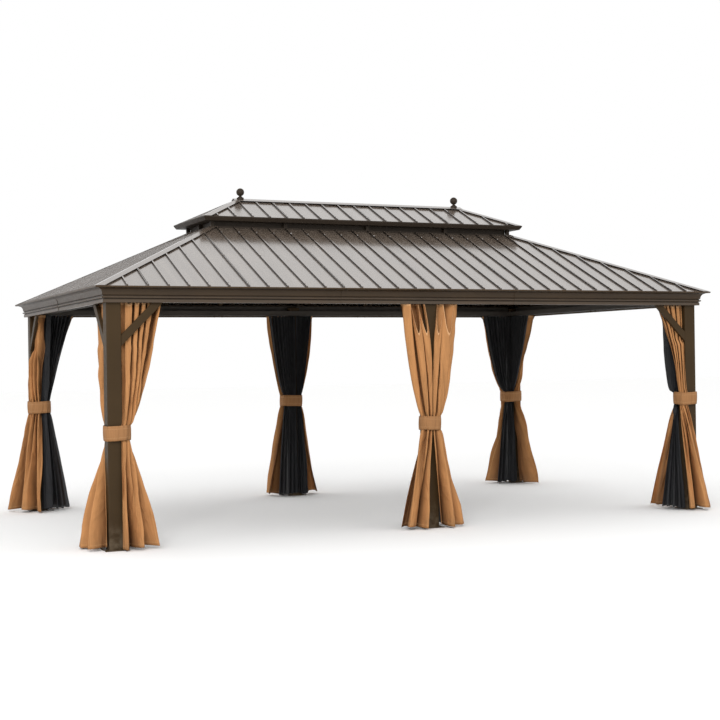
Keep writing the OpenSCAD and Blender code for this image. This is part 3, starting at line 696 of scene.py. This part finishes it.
# Plan curve at each height: a quadratic curve by the inner, middle and outer points, which ease from the tie
# to the rail by up and to the hem by down; also its direction, and the span between its ends.
def planCurve(hang, s, up, down):
    rise, belly = hang.get("rise", plainRise), hang.get("belly", noBelly)
    points = np.zeros((3,) + up.shape + (2,))
    for k in range(3):
        drop = down ** (foldPlan["hemPower"] if k else 1.0)
        for c in range(2):
            rail, waist, hem = (hang[level][k][c] for level in ("rail", "tie", "hem"))
            pull = rise[k][c]
            lift = smoothStep(up, *pull) if isinstance(pull, tuple) else up ** pull
            swell = belly[c] * 4 * up * (1 - up) * (k > 0)
            points[k, ..., c] = waist + (rail - waist) * lift + (hem - waist) * drop + swell
    share = np.broadcast_to(s, up.shape)[..., None]
    path = (1 - share) ** 2 * points[0] + 2 * share * (1 - share) * points[1] + share ** 2 * points[2]
    way = (1 - share) * (points[1] - points[0]) + share * (points[2] - points[1])
    way /= np.linalg.norm(way, axis=-1, keepdims=True) + 1e-9
    return path, way, np.linalg.norm(points[2] - points[0], axis=-1)


# Creases: a sum of slanting sines with random runs, drops and starts.
def creaseHeight(random, run, z, up):
    total = np.zeros_like(z)
    for kind in foldPlan["creases"]:
        low = (kind["run"][0], -kind["drop"], 0.0)
        high = (kind["run"][1], kind["drop"], fullTurn)
        for runPace, dropPace, turn in random.uniform(low, high, (kind["count"], 3)):
            wave = np.sin(fullTurn * (runPace * run + dropPace * z) + turn)
            total += (kind["least"] + kind["gain"] * up) * wave
    return total


# Behind a brace the cloth is pressed in: a soft maximum of its distance in and the back of the brace.
def pressBehindBrace(path, z):
    back, press, reach = layout["braceBack"], foldPlan["press"], foldPlan["pressFrom"]
    free = back + np.logaddexp(0.0, (path[..., 1] - back) * press) / press
    share = smoothStep(z, layout["braceFoot"] + reach[0], layout["braceFoot"] + reach[1])
    path[..., 1] += (free - path[..., 1]) * share


# Hanging cloth: folds as deep as the spare width allows are added along the normal of the plan curve, a sway
# at twice their pace closes the pleats, and the top edge droops and curls out between its hooks.
def hangCloth(hang, plan, tie, seed):
    random = np.random.default_rng(seed)
    turns = random.uniform(0, fullTurn, 8)
    width, length = plan["flat"]
    s = np.linspace(0, 1, plan["columns"])[None, :]
    t = np.linspace(0, 1, plan["rows"])[:, None]
    slowPace, quickPace = foldPlan["unevenPaces"]
    quick = foldPlan["unevenShare"] * np.sin(fullTurn * quickPace * s + turns[2])
    uneven = plan["uneven"] * (np.sin(fullTurn * slowPace * s + turns[1]) + quick)
    pace = plan["folds"] + np.gradient(uneven, s[0, 1], axis=1)
    pace = np.maximum(pace, foldPlan["leastPace"] * plan["folds"])

    def fineAngle(height, start):
        return foldAngle("fine", plan["folds"], s, uneven, height, turns[3], start)

    start = turns[4]
    if "crest" in hang:
        start = -math.pi / 2 - np.interp(hang["crest"], s[0], fineAngle(layout["clothTop"], 0.0)[0])
    crestHeight, looseFrom = -np.sin(fineAngle(layout["clothTop"], start)), foldPlan["looseFrom"]
    loose = np.clip((crestHeight - looseFrom) / (1 - looseFrom), 0, 1) ** foldPlan["loosePower"]
    loose = loose * (1 - smoothStep(s, *hang.get("looseTo", foldPlan["looseTo"])))
    top = layout["clothTop"] - plan["droop"] * loose
    waveSize, wavePace = foldPlan["hemWave"]
    z = top + (plan["hem"] + waveSize * np.sin(wavePace * s + turns[0]) - top) * t
    tieTop, tieBase = tie + clothPlan["tieHeight"] / 2, tie - clothPlan["tieHeight"] / 2
    up = np.clip((z - tieTop) / (layout["clothTop"] - tieTop), 0, 1)
    down = np.clip((tieBase - z) / (tieBase - plan["hem"]), 0, 1)
    path, way, span = planCurve(hang, s, up, down)
    across = np.stack([-way[..., 1], way[..., 0]], axis=-1)

    angle = fineAngle(z, start)
    broadUneven = foldPlan["broadUneven"] * uneven
    broadAngle = foldAngle("broad", plan["hemFolds"], s, broadUneven, z, turns[5], turns[6])
    blend = foldPlan["broadShare"] * np.clip(down / foldPlan["broadFrom"], 0, 1)
    fine = foldWave("fine", angle, s, z, turns[7], turns[1]) * (1 - blend)
    broad = foldWave("broad", broadAngle, s, z, turns[2], turns[3]) * blend
    spare = plan["full"] * np.sqrt(np.maximum(width ** 2 - span ** 2, foldPlan["leastSpare"] ** 2))
    depth = (fine / (4 * plan["folds"]) + broad / (4 * plan["hemFolds"])) * spare
    tight = plan["squeeze"] + (1 - plan["squeeze"]) * np.maximum(up, down) ** foldPlan["tightPower"]
    calm = foldPlan["calmLeast"] + (1 - foldPlan["calmLeast"]) * smoothStep(s, 0.0, foldPlan["calmEdge"])
    sway = -plan["loop"] * span / (fullTurn * pace) * np.sin(2 * angle) * up ** foldPlan["swayPower"]
    sway = sway * smoothStep(s * (1 - s), 0.0, foldPlan["swayEdge"])
    curl = plan["curl"] * loose * np.exp((z - top) / foldPlan["curlReach"])
    crease = plan["crease"] * creaseHeight(random, s * width, z, up)
    path = path + across * (depth * tight * calm + crease - curl)[..., None] + way * sway[..., None]
    if hang["size"] == "corner":
        pressBehindBrace(path, z)
    uv = np.stack(np.broadcast_arrays(s * width, (1 - t) * length), axis=-1)
    return np.concatenate([path, z[..., None]], axis=-1), uv, (fine + broad) * calm


def postPlace(post):
    return np.array((layout["postX"], layout["postY"])) * posts[post]["at"]


# Cloth points (a, n, z) moved to their post: a along the side, n inward from its lip.
def intoPlace(flatPoints, post, sideName, turn):
    side = sides[sideName]
    origin = np.append(postPlace(post), 0.0) - side["inward"] * (layout["postSetback"] + layout["postHalf"])
    return origin + flatPoints @ np.stack([side["along"] * turn, side["inward"], zAxis])


curtainCloths = {size: wovenCloth(name, cloths["curtain"], clothPlan[size]["flat"])
                 for size, name in (("corner", "tanCurtain"), ("middle", "tanCurtainSlim"))}
tieCloth = wovenCloth("tanTie", cloths["tie"], (clothPlan["tieRun"], clothPlan["tieHeight"]))
netCloth = wovenCloth("blackNetting", cloths["netting"], clothPlan["net"]["flat"])
print("cloths made")

atTie = {post: [] for post in posts}  # plan points of the cloth that each tie holds


def hangPiece(name, hang, plan, cloth, node, seed):
    tie = posts[hang["post"]]["tie"]
    flatPoints, uv, fold = hangCloth(hang, plan, tie, seed)
    points = intoPlace(flatPoints, hang["post"], hang["side"], hang["turn"])
    piece = gridMesh(name, points, uv, hang["turn"] < 0)
    # The fold attribute places the painted shade and highlight of the folds.
    foldLayer = piece.data.attributes.new("fold", "FLOAT", "POINT")
    foldLayer.data.foreach_set("value", fold.astype(np.float32).ravel())
    if plan["thick"]:
        thicken(piece, plan["thick"])
    near = np.abs(points[..., 2] - tie) < clothPlan["tieHeight"] / 2
    atTie[hang["post"]].append(points[near][:, :2])
    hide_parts(node)
    seatPiece(piece, cloth)


# Post, side and size of a curtain, from the row, column and face in its name.
def hungAt(name):
    row, column, face = name.split("_")
    return {"post": f"{row}_{column}_post", "side": column if face == "side" else row,
            "size": "middle" if column == "middle" else "corner"}


seedStep, netSeed = 20, 7
for number, name in enumerate(curtains):
    hang = {**hungAt(name), **curtains[name]}
    seed = seedStep * number
    hangPiece(f"{name}_curtain", hang, clothPlan[hang["size"]], curtainCloths[hang["size"]],
              f"{hang['side']}_curtains", seed)
    plainNet = middleNet if hang["size"] == "middle" else cornerNet
    net = {**hang, "rise": plainRise, "belly": noBelly, **plainNet, **netEdges.get(name, {})}
    hangPiece(f"{name}_netting", net, clothPlan["net"], netCloth, f"{hang['side']}_netting",
              seed + netSeed)
print("curtains and netting hung:", 2 * len(curtains), "sheets")

# Tie band: its plan is the smoothed support curve h(q) d + h'(q) d' of the cloth and the post it holds,
# wound a little past a full turn so that its ends overlap; its faces swell slightly between the edges.
tiePlan = {"steps": 180, "rows": 11, "clear": 0.004, "swell": 0.004, "overlap": 22, "start": 130,
           "lap": 0.004, "lapFrom": 12, "lapTo": 2, "smooth": 6.0, "window": 24, "wrinkle": (0.0022, 11),
           "sag": (0.004, 2), "thick": 0.002}


def tieBand(post, plan):
    centre = postPlace(post)
    corner = layout["postHalf"] * np.array([(1, 1), (1, -1), (-1, 1), (-1, -1)])
    held = np.concatenate(atTie[post] + [centre + corner]) - centre
    count, wide = plan["steps"], plan["window"]
    q = np.linspace(0, fullTurn, count, endpoint=False)
    ray = np.stack([np.cos(q), np.sin(q)], axis=-1)
    reach = (held @ ray.T).max(axis=0) + plan["clear"]
    window = np.exp(-0.5 * (np.arange(-wide, wide + 1) / plan["smooth"]) ** 2)
    smooth = np.convolve(np.pad(reach, wide, mode="wrap"), window / window.sum(), mode="valid")
    reach = (np.maximum(smooth, reach) + smooth) / 2
    slope = np.gradient(np.pad(reach, 2, mode="wrap"), q[1])[2:-2]
    ring = reach[:, None] * ray + slope[:, None] * np.stack([-np.sin(q), np.cos(q)], axis=-1)
    wound = np.arange(count + plan["overlap"])
    order = (wound + plan["start"]) % count
    ring, ray, q = ring[order], ray[order], q[order]
    lift = plan["lap"] * smoothStep(wound, count - plan["lapFrom"], count + plan["lapTo"])
    v = np.linspace(-1, 1, plan["rows"])[None, :]
    wrinkle = plan["wrinkle"][0] * np.sin(plan["wrinkle"][1] * q)[:, None] * v
    swell = plan["swell"] * (1 - v ** 2) + lift[:, None] + wrinkle
    flatRing = centre + ring[:, None, :] + swell[..., None] * ray[:, None, :]
    sag = plan["sag"][0] * np.sin(plan["sag"][1] * q + centre[0])[:, None]
    z = posts[post]["tie"] + clothPlan["tieHeight"] / 2 * v + sag
    run = np.concatenate([[0], np.cumsum(np.linalg.norm(np.diff(ring, axis=0), axis=1))])
    uv = np.stack(np.broadcast_arrays(run[:, None], (v + 1) * clothPlan["tieHeight"] / 2), axis=-1)
    return np.concatenate([flatRing, z[..., None]], axis=-1), uv, float(run[-1])


for post in posts:
    points, uv, girth = tieBand(post, tiePlan)
    piece = gridMesh(f"{post.removesuffix('_post')}_tie", points, uv, True)
    thicken(piece, tiePlan["thick"])
    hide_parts("curtain_ties")
    seatPiece(piece, tieCloth)
    print("tie at", post, "girth", round(girth, 3))


# Turned head: a profile of radius and height carried round an axis, with the given number of sides.
def turnedHead(profile, count):
    profile = np.array(profile)
    q = np.linspace(0, fullTurn, count, endpoint=False)
    ringPoints = np.stack([profile[:, :1] * np.cos(q), profile[:, :1] * np.sin(q),
                           np.repeat(profile[:, 1:], count, axis=1)], axis=-1)
    index = np.arange(len(profile) * count).reshape(len(profile), count)
    after = np.roll(index, -1, axis=1)
    quads = np.stack([index[:-1], after[:-1], after[1:], index[1:]], axis=-1).reshape(-1, 4)
    return ringPoints.reshape(-1, 3), quads


# Copies of one head: each is turned so that its axis follows the normal at its place. Its first side
# direction is square to the normal and to X, or to Y where the normal leans too far along X.
farLean = 0.8


def scatterHeads(name, plan, places, normals, paint, slotName):
    base, quads = turnedHead(plan["head"], plan["sides"])
    normals = normals / np.linalg.norm(normals, axis=1, keepdims=True)
    helper = np.where(np.abs(normals[:, :1]) < farLean, xAxis, yAxis)
    first = np.cross(helper, normals)
    first /= np.linalg.norm(first, axis=1, keepdims=True)
    second = np.cross(normals, first)
    turned = np.stack([first, second, normals], axis=1)
    points = places[:, None, :] + base @ turned
    allQuads = quads[None] + (np.arange(len(places)) * len(base))[:, None, None]
    seatPiece(facedMesh(name, points.reshape(-1, 3), allQuads.reshape(-1, 4)), paint)
    print(name, len(places))


# Points at x along a side, n in from its lip, at height z.
def onSide(sideName, x, n, z):
    side = sides[sideName]
    x, n, z = (part[..., None] for part in np.broadcast_arrays(x, n, z))
    return x * side["along"] + (n - side["lip"]) * side["inward"] + z * zAxis


# Height of a tier's pans, n in from its eave: a straight slope.
def panHeight(tier, n):
    return tiers[tier]["eave"] + math.tan(layout["slope"]) * (n - layout["panEdge"])


# Rib lines of a slope: positions along the side, and which of them belong to seams of two folds. Every fifth
# rib is a seam, except beside the hips.
ribPlan = {"seamEvery": 5, "seamStop": 1.3}


def ribLines(half):
    last = half / layout["ribPitch"]
    steps = np.arange(-int(last), int(last) + 1)
    seam = (steps % ribPlan["seamEvery"] == 0) & (np.abs(steps) < last - ribPlan["seamStop"])
    x = np.concatenate([steps[~seam], steps[seam], steps[seam]]) * layout["ribPitch"]
    shift = np.repeat([0, 1, -1], [(~seam).sum(), seam.sum(), seam.sum()])
    return x + shift * layout["seamOffset"], shift != 0


# Roof screws: on every rib top, in rows at set distances in from the eave, kept clear of the hip caps.
screwPlan = {"rows": {"lower": (0.088, 0.70, 1.265), "upper": (0.088, 0.40)}, "hipGap": 0.125, "sides": 8,
             "head": ((0.0060, 0.0), (0.0060, 0.001), (0.0042, 0.0014), (0.0040, 0.0042), (0.003, 0.005),
                      (0.0001, 0.0051))}


def roofScrews(tier):
    places, normals = [], []
    inset = tiers[tier]["inset"]
    for sideName, side in sides.items():
        half = side["half"] - inset
        x = ribLines(half)[0]
        normal = math.cos(layout["slope"]) * zAxis - math.sin(layout["slope"]) * side["inward"]
        for n in screwPlan["rows"][tier]:
            keep = x[np.abs(x) < half - n - screwPlan["hipGap"]]
            places.append(onSide(sideName, keep, n + inset, panHeight(tier, n) + layout["ribLift"]))
            normals.append(np.tile(normal, (len(keep), 1)))
    return np.concatenate(places), np.concatenate(normals)


for tier in tiers:
    scatterHeads(f"{tier}_roof_screws", screwPlan, *roofScrews(tier), paints["brownCaps"], "roof_paint")


# Bars on the slopes of a tier: each is a box at x plus or minus half, narrowed by taper at its top, that
# runs in from the eave for its length in plan and stands square to the pan by height; barsOf gives x, half
# and length for half the length of the eave.
def slopeBars(name, tier, plan, barsOf, paint):
    corner = np.array([(u, v, w) for w in (0, 1) for v in (0, 1) for u in (-1, 1)], float)
    faces = np.array([(0, 2, 3, 1), (4, 5, 7, 6), (0, 1, 5, 4), (2, 6, 7, 3), (0, 4, 6, 2), (1, 3, 7, 5)])
    across, along, upward = corner.T
    inset = tiers[tier]["inset"]
    lift = plan["height"] * upward
    points = []
    for sideName, side in sides.items():
        x, half, length = (part[:, None] for part in barsOf(side["half"] - inset))
        n = plan["from"] + length * along
        z = panHeight(tier, n) + math.cos(layout["slope"]) * lift
        x = x + across * (half - plan["taper"] * upward)
        points.append(onSide(sideName, x, n - math.sin(layout["slope"]) * lift + inset, z).reshape(-1, 3))
    points = np.concatenate(points)
    count = len(points) // len(corner)
    quads = faces[None] + (np.arange(count) * len(corner))[:, None, None]
    seatPiece(facedMesh(name, points, quads.reshape(-1, 4), smooth=False), paint)
    print(name, count)


# Rib plugs: a short wedge with the section of the rib's hollow, in the open end of every rib at the eave.
plugPlan = {"from": 0.0424, "length": 0.009, "height": 0.0128, "half": 0.0056, "seamHalf": 0.0017,
            "taper": 0.0012, "hipGap": 0.05}


def plugBars(half):
    x, seam = ribLines(half)
    keep = np.abs(x) < half - plugPlan["from"] - plugPlan["hipGap"]
    x, seam = x[keep], seam[keep]
    return x, np.where(seam, plugPlan["seamHalf"], plugPlan["half"]), np.full(len(x), plugPlan["length"])


# Seam seals: a thin strip in the gap between the two folds of a seam, from the eave to the hip or curb.
sealPlan = {"from": 0.044, "height": 0.0105, "half": 0.0009, "taper": 0.0, "hipGap": 0.010,
            "end": {"lower": 1.396, "upper": 0.480}}


def sealBars(half, end):
    x, seam = ribLines(half)
    x = np.unique(np.round(x[seam] / layout["ribPitch"])) * layout["ribPitch"]
    end = np.minimum(end, half - np.abs(x) - sealPlan["hipGap"])
    return x, np.full(len(x), sealPlan["half"]), end - sealPlan["from"]


for tier in tiers:
    slopeBars(f"{tier}_rib_plugs", tier, plugPlan, plugBars, paints["brownCaps"])
    seals = partial(sealBars, end=sealPlan["end"][tier])
    slopeBars(f"{tier}_seam_seals", tier, sealPlan, seals, paints["darkTrim"])

# Hip fillers: a thin upright strip along each hip, from under the pans to the underside of the cap.
fillerPlan = {"thick": 0.003, "from": 0.044, "end": {"lower": 1.395, "upper": 0.478}, "steps": 12,
              "under": 0.004, "gap": 0.0006}


def hipFillers(tier):
    n = np.linspace(fillerPlan["from"], fillerPlan["end"][tier], fillerPlan["steps"])
    pan = panHeight(tier, n)
    z = np.stack([pan + layout["ribLift"] - fillerPlan["gap"], pan - fillerPlan["under"]])
    x, y = (half - tiers[tier]["inset"] - n for half in (halfLength, halfWidth))
    for number, (i, j) in enumerate(((-1, -1), (1, -1), (1, 1), (-1, 1))):
        points = np.stack(np.broadcast_arrays(i * x, j * y, z), axis=-1)
        piece = gridMesh(f"{tier}_hip_filler_{number + 1}", points, points[..., [0, 2]])
        thicken(piece, fillerPlan["thick"])
        seatPiece(piece, paints["darkTrim"])


for tier in tiers:
    hipFillers(tier)
print("hip fillers made")

# Joint covers: the cornice's profile of distance in and height, stood off a little, carried along a short
# run over each splice; its edges turn back into the cornice. The cove is a quarter of an ellipse.
coverPlan = {"half": 0.018, "proud": 0.004, "sunk": 0.001, "coveSteps": 10, "coveStart": (0.0352, 2.0363),
             "coveSize": (0.0336, 0.0507), "lip": (0.0302, 2.0905),
             "foot": ((0.0770, 2.0322), (0.0770, 2.0270), (0.0650, 2.0231), (0.0630, 2.0179),
                      (0.0650, 2.0127), (0.0800, 2.0075), (0.0800, 2.0023), (0.0750, 1.9997),
                      (0.0750, 1.9752))}


def jointCover(name, sideName, middle):
    turn = np.linspace(0, math.pi / 2, coverPlan["coveSteps"])
    cove = coverPlan["coveStart"] + np.stack([np.sin(turn), np.cos(turn)], axis=-1) * coverPlan["coveSize"]
    profile = np.concatenate([[coverPlan["lip"]], cove, coverPlan["foot"]])
    shift = np.array([coverPlan["sunk"], -coverPlan["proud"], -coverPlan["proud"], coverPlan["sunk"]])
    run = middle + coverPlan["half"] * np.array([-1, -1, 1, 1])
    points = onSide(sideName, run[None, :], profile[:, :1] + shift[None, :], profile[:, 1:])
    piece = gridMesh(name, points, points[..., [0, 2]], True, False)
    seatPiece(piece, paints["bronzeCornice"])


splices = [(sideName, middle) for sideName in sides
           for middle in ((-layout["splice"], layout["splice"]) if sideName in longSides else (0.0,))]
for number, (sideName, middle) in enumerate(splices):
    jointCover(f"cornice_joint_cover_{number + 1}", sideName, middle)
print("joint covers:", len(splices))

# Splice bolts: acorn nuts under the beams, in pairs beside each splice of the cornice.
boltPlan = {"apart": 0.045, "inset": 0.133, "sides": 8,
            "head": ((0.011, 0.0), (0.011, 0.002), (0.0085, 0.0025), (0.0085, 0.009), (0.0065, 0.015),
                     (0.003, 0.018), (0.0001, 0.0185))}
pair = boltPlan["apart"] * np.array([-1, 1])
bolts = np.concatenate([onSide(sideName, middle + pair, boltPlan["inset"], layout["beamBase"])
                        for sideName, middle in splices])
downward = np.tile(-zAxis, (len(bolts), 1))
scatterHeads("splice_bolts", boltPlan, bolts, downward, paints["bronzeFrame"], "frame_paint")

# Stage: pale floor, white backdrop for camera and mirror rays, soft sky, one broad lamp high on the left.
stagePlan = {"floor": (0.99, 0.99, 0.985, 1), "ground": (0.55, 0.54, 0.51, 1), "roughness": 0.95,
             "shine": 0.1, "reach": 60.0, "sky": 1.0, "lampPlace": (-9.0, -16.0, 9.0), "lampSize": 8.0,
             "lampPower": 1500.0, "aim": (0.0, 0.0, 1.2)}


# Camera, glossy and transmission rays see the shown shader, all others the lit one.
def mixShown(tree, lit, shown):
    rays = addNode(tree, "ShaderNodeLightPath").outputs
    seen = mathNode(tree, "MAXIMUM", rays["Is Camera Ray"], rays["Is Glossy Ray"])
    seen = mathNode(tree, "MAXIMUM", seen, rays["Is Transmission Ray"])
    return addNode(tree, "ShaderNodeMixShader", {0: seen, 1: lit.outputs[0], 2: shown.outputs[0]}).outputs[0]


def softSky():
    world = bpy.data.worlds.new("softSky")
    world.use_nodes = True
    tree = world.node_tree
    tree.nodes.clear()
    light, plain = (addNode(tree, "ShaderNodeBackground", {"Color": (1, 1, 1, 1), "Strength": strength})
                    for strength in (stagePlan["sky"], 1.0))
    addNode(tree, "ShaderNodeOutputWorld", {"Surface": mixShown(tree, light, plain)})
    return world


# Floor: one quad; it looks pale, and throws back less light than it shows.
def paleFloor():
    material, tree, shader = newMaterial("paleFloor")
    fillSockets(tree, shader, {"Base Color": stagePlan["floor"], "Roughness": stagePlan["roughness"],
                               "Specular IOR Level": stagePlan["shine"]})
    dull = addNode(tree, "ShaderNodeBsdfDiffuse", {"Color": stagePlan["ground"]})
    fillSockets(tree, tree.nodes["Material Output"], {"Surface": mixShown(tree, dull, shader)})
    points = stagePlan["reach"] * np.array([[[-1, -1, 0], [1, -1, 0]], [[-1, 1, 0], [1, 1, 0]]], float)
    floor = gridMesh("stageFloor", points, points[..., :2])
    floor.data.materials.append(material)
    return floor


def keyLamp():
    lamp = bpy.data.lights.new("keyLamp", "AREA")
    lamp.size = stagePlan["lampSize"]
    lamp.energy = stagePlan["lampPower"]
    holder = bpy.data.objects.new("keyLamp", lamp)
    holder.location = stagePlan["lampPlace"]
    aim = Vector(stagePlan["aim"]) - holder.location
    holder.rotation_euler = aim.to_track_quat("-Z", "Y").to_euler()
    bpy.context.scene.collection.objects.link(holder)
    return holder


# Camera at the photo's place: yaw from +Y towards +X, focal length in pixels of a frame that is pixels wide.
cameraPlan = {"place": (-5.4013, -12.1226, 1.4923), "yaw": 0.4244, "pitch": -0.0002, "roll": -0.014,
              "focal": 1327.93, "pixels": 720.0, "sensor": 36.0, "clip": 200.0}


def aimCamera(plan):
    yaw, pitch, roll = plan["yaw"], plan["pitch"], plan["roll"]
    ahead = Vector((math.sin(yaw) * math.cos(pitch), math.cos(yaw) * math.cos(pitch), math.sin(pitch)))
    right = Vector((math.cos(yaw), -math.sin(yaw), 0.0))
    up = right.cross(ahead)
    turnedRight = right * math.cos(roll) + up * math.sin(roll)
    turnedUp = up * math.cos(roll) - right * math.sin(roll)
    data = bpy.data.cameras.new("photoCamera")
    data.sensor_width = plan["sensor"]
    data.sensor_height = plan["sensor"]
    data.lens = plan["focal"] / plan["pixels"] * plan["sensor"]
    data.clip_end = plan["clip"]
    camera = bpy.data.objects.new("photoCamera", data)
    matrix = Matrix((turnedRight, turnedUp, -ahead)).transposed().to_4x4()
    matrix.translation = plan["place"]
    camera.matrix_world = matrix
    bpy.context.scene.collection.objects.link(camera)
    bpy.context.scene.camera = camera
    return camera


bpy.context.scene.world = softSky()
paleFloor()
keyLamp()
aimCamera(cameraPlan)
bpy.context.scene.view_settings.view_transform = "Standard"
print("stage and camera set")
